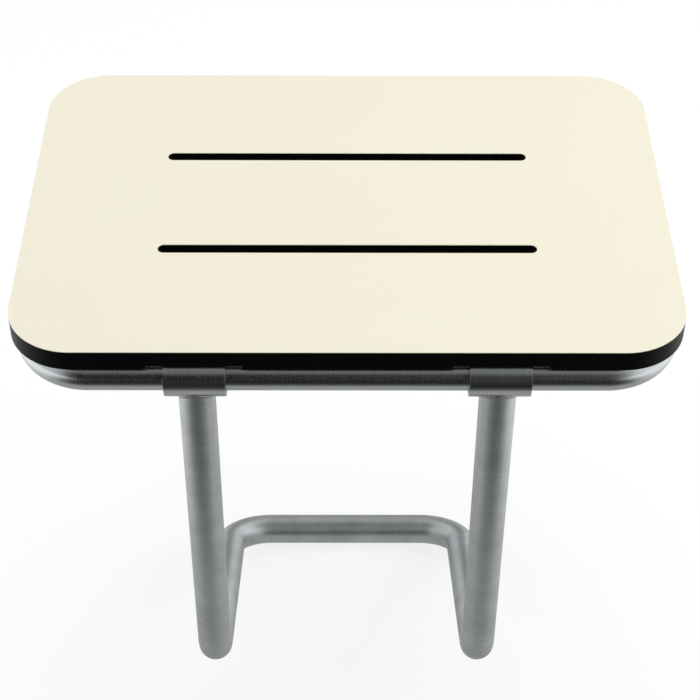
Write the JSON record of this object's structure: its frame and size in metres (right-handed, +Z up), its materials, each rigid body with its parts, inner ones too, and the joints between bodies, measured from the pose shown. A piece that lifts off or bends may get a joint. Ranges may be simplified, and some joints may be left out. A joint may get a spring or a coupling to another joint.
{
  "type": "fold down wall seat",
  "caption": "Wall hung shower seat: slotted ivory laminate board on a bent steel tube frame that folds up, with a hinged tube leg that swings under it.",
  "frame": {"origin": "centre of the wall screw pattern of both brackets, on the wall face of their back plates", "axes": "+Y into the wall, the seat reaches towards -Y; +Z up; +X to the right, seen from in front of the seat"},
  "size_m": [0.472, 0.3477, 0.4391],
  "materials": {
    "satin_stainless": "satin, brushed round the tube",
    "bright_hardware": "plain bright stainless",
    "ivory_face": "fine matte texture",
    "black_core": "machined, satin",
    "black_nylon": "moulded",
    "black_rubber": "matte",
    "brass_inserts": "turned"
  },
  "bodies": {
    "wall": {"left_wall_plate": "satin_stainless", "right_wall_plate": "satin_stainless", "left_bracket_ear": "satin_stainless", "right_bracket_ear": "satin_stainless", "hinge_bolts": "bright_hardware", "hinge_nuts": "bright_hardware", "hinge_washers": "bright_hardware", "stop_pins": "satin_stainless", "stop_sleeves": "black_rubber"},
    "seat": {"seat_core": "black_core", "top_decor_face": "ivory_face", "bottom_decor_face": "black_core", "seat_frame_tube": "satin_stainless", "rear_cross_tube": "satin_stainless", "front_lugs": "satin_stainless", "side_lugs": "satin_stainless", "threaded_inserts": "brass_inserts", "lug_screws": "bright_hardware", "pivot_tubes": "satin_stainless", "arm_bushes": "black_nylon", "arm_end_plugs": "black_nylon", "leg_stop_studs": "satin_stainless"},
    "leg": {"leg_tube": "satin_stainless", "left_leg_sleeve": "satin_stainless", "right_leg_sleeve": "satin_stainless", "sleeve_liners": "black_nylon"}
  },
  "joints": [
    {"name": "seat_fold", "type": "hinge", "parent": "wall", "child": "seat", "pos_m": [0, -0.048, 0.071], "axis": [-1, 0, 0], "range_deg": [0, 90]},
    {"name": "leg_swing", "type": "hinge", "parent": "seat", "child": "leg", "pos_m": [0, -0.331, 0.071], "axis": [1, 0, 0], "range_deg": [0, 66]}
  ]
}
